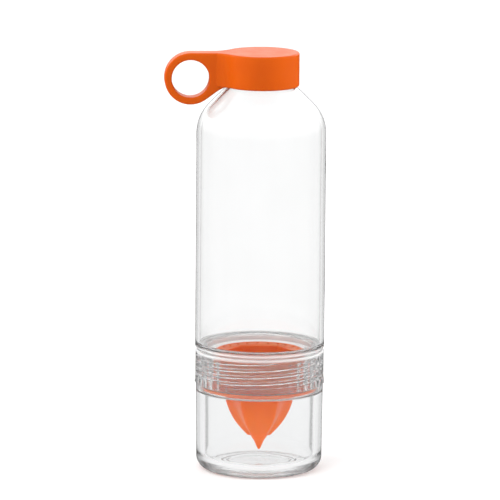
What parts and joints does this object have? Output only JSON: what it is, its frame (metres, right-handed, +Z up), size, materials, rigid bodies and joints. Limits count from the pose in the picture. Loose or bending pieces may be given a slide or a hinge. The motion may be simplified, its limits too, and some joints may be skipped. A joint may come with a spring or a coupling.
{
  "type": "drinking bottle",
  "caption": "Clear screw-apart drinking bottle with an orange citrus press in its base cup and an orange screw cap with a carry ring.",
  "frame": {"origin": "centre of the foot circle, on the surface the bottle stands on", "axes": "+Z up along the bottle's axis; -X towards the carry ring"},
  "size_m": [0.0952, 0.0764, 0.248],
  "materials": {
    "clear_body": "gloss",
    "clear_cup": "gloss",
    "orange_cap": "satin",
    "orange_press": "satin",
    "silicone": "matte"
  },
  "bodies": {
    "base": {"base_cup": "clear_cup"},
    "press": {"citrus_press": "orange_press", "press_gasket": "silicone"},
    "bottle_lift": {"neck_gasket": "silicone"},
    "bottle": {"bottle_body": "clear_body", "bottle_shoulder": "clear_body"},
    "cap_lift": {"cap_gasket": "silicone"},
    "cap": {"cap_shell": "orange_cap", "cap_liner": "orange_cap"}
  },
  "joints": [
    {"name": "bottle_rise", "type": "slide", "parent": "base", "child": "bottle_lift", "axis": [0, 0, 1], "range_m": [0, 0.09]},
    {"name": "bottle_turn", "type": "hinge", "parent": "bottle_lift", "child": "bottle", "pos_m": [0, 0, 0.06], "axis": [0, 0, 1], "range_deg": [0, 4050]},
    {"name": "press_rise", "type": "slide", "parent": "base", "child": "press", "axis": [0, 0, 1], "range_m": [0, 0.06]},
    {"name": "cap_rise", "type": "slide", "parent": "bottle", "child": "cap_lift", "axis": [0, 0, 1], "range_m": [0, 0.024]},
    {"name": "cap_turn", "type": "hinge", "parent": "cap_lift", "child": "cap", "pos_m": [0, 0, 0.24], "axis": [0, 0, 1], "range_deg": [0, 2160]}
  ],
  "couplings": [
    {"joint": "bottle_rise", "follows": "bottle_turn", "m_per_rad": 0.0012732},
    {"joint": "press_rise", "follows": "bottle_turn", "m_per_rad": 0.00084883},
    {"joint": "cap_rise", "follows": "cap_turn", "m_per_rad": 0.00063662}
  ]
}
